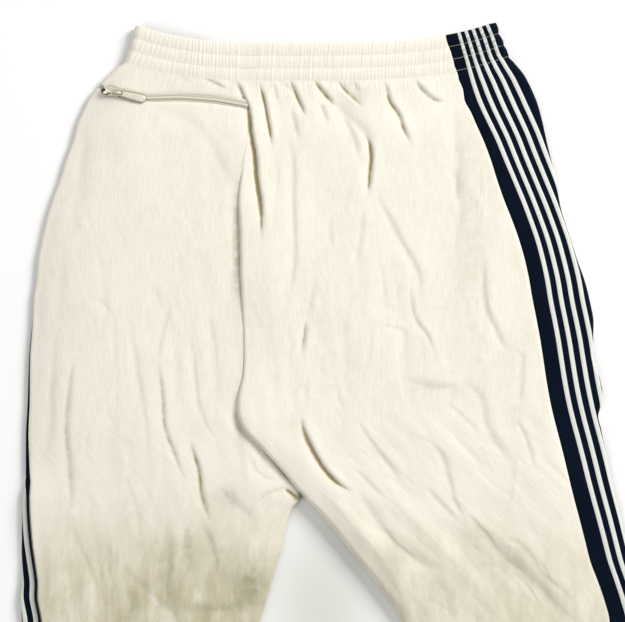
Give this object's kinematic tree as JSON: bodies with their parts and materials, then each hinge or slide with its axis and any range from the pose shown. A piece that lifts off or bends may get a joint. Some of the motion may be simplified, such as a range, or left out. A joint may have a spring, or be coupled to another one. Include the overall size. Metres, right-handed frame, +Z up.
{
  "type": "track pants",
  "caption": "Full-length track pants laid flat with the back up: elastic waist, striped navy side panels and a zipped back pocket.",
  "frame": {"origin": "centre of the garment's outline, on the surface that it lies on", "axes": "+Y towards the waistband, +Z up out of the back, +X towards the picture's right"},
  "size_m": [0.6681, 1.1662, 0.0198],
  "materials": {
    "cream_jersey": "brushed cotton jersey",
    "navy_jersey": "matt knit",
    "white_braid": "flat knitted braid",
    "zip_tape": "woven tape",
    "zip_coil": "nylon coil",
    "zip_metal": "nickel plated, dull"
  },
  "bodies": {
    "garment": {"leg_back_left_top": "cream_jersey", "leg_back_left_middle": "cream_jersey", "leg_back_left_bottom": "cream_jersey", "leg_back_right_top": "cream_jersey", "leg_back_right_middle": "cream_jersey", "leg_back_right_bottom": "cream_jersey", "leg_front_left": "cream_jersey", "leg_front_right": "cream_jersey", "waistband_back_left": "cream_jersey", "waistband_back_right": "cream_jersey", "waistband_front_left": "cream_jersey", "waistband_front_right": "cream_jersey", "side_panel_left_top": "navy_jersey", "side_panel_left_middle": "navy_jersey", "side_panel_left_bottom": "navy_jersey", "side_panel_right_top": "navy_jersey", "side_panel_right_middle": "navy_jersey", "side_panel_right_bottom": "navy_jersey", "waistband_side_left": "navy_jersey", "waistband_side_right": "navy_jersey", "braid_left_1": "white_braid", "braid_left_2": "white_braid", "braid_left_3": "white_braid", "braid_left_4": "white_braid", "braid_left_5": "white_braid", "braid_right_1": "white_braid", "braid_right_2": "white_braid", "braid_right_3": "white_braid", "braid_right_4": "white_braid", "braid_right_5": "white_braid", "zip_tape": "zip_tape", "zip_coil": "zip_coil", "zip_slider": "zip_metal"},
    "zip_pull": {"zip_pull": "zip_metal"}
  },
  "joints": [
    {"name": "pull_tab_hinge", "type": "hinge", "parent": "garment", "child": "zip_pull", "pos_m": [-0.20285, 0.5135, 0.01662], "axis": [-0.2419, -0.9703, 0], "range_deg": [0, 150]}
  ]
}
